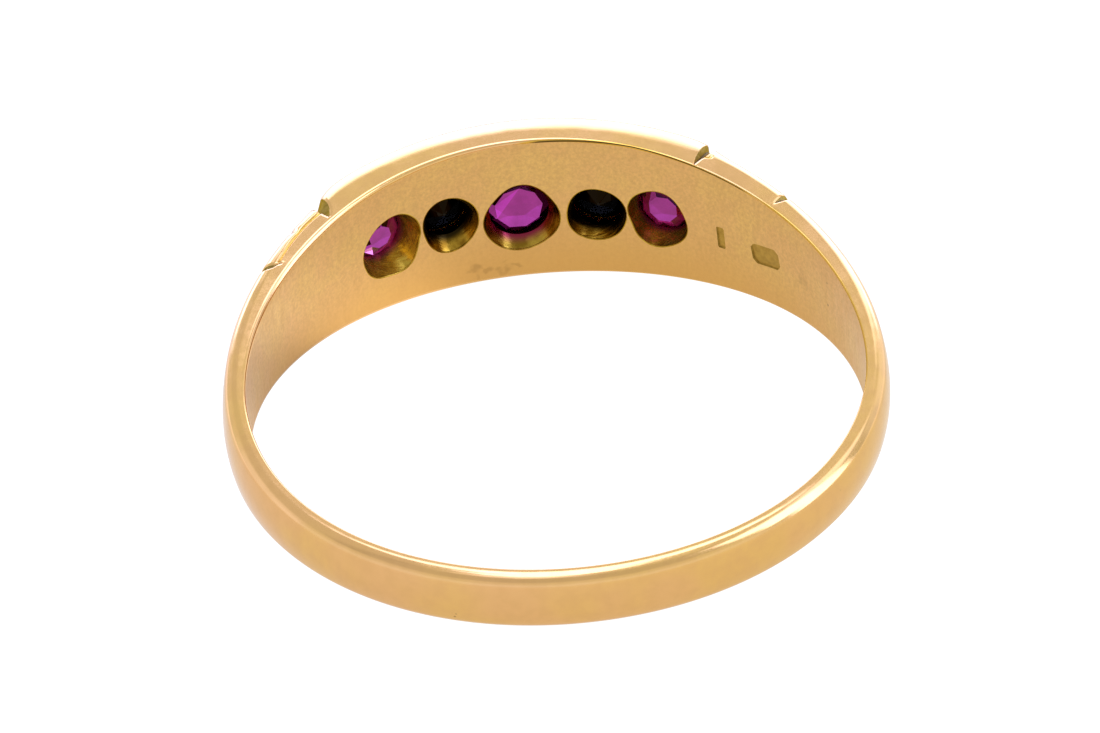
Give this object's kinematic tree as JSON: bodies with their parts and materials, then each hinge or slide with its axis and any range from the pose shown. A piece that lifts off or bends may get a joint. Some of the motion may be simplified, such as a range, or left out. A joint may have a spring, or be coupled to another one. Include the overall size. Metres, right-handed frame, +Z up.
{
  "type": "ruby and diamond ring",
  "caption": "Flush set gold ring with rubies and diamonds in a raised boat shaped head, carved shoulders and a tapered band, open behind the stones.",
  "frame": {"origin": "centre of the bounding box's bottom, on the surface that the ring lies on", "axes": "+Z up from that surface; +Y towards the head; +X to the right when the ring is seen from the back of its band. The ring rests on the low edges of its head and of its back, so the finger hole's axis leans 5 degrees from +Z towards -Y."},
  "size_m": [0.0188, 0.0197, 0.005],
  "materials": {
    "gold": "polished 18 carat yellow gold, satin inside the head",
    "ruby": "faceted, clear, purple red",
    "diamond": "faceted, clear, colourless"
  },
  "bodies": {
    "root": {"ring_band": "gold", "ruby_left": "ruby", "diamond_left": "diamond", "ruby_centre": "ruby", "diamond_right": "diamond", "ruby_right": "ruby"}
  },
  "joints": []
}
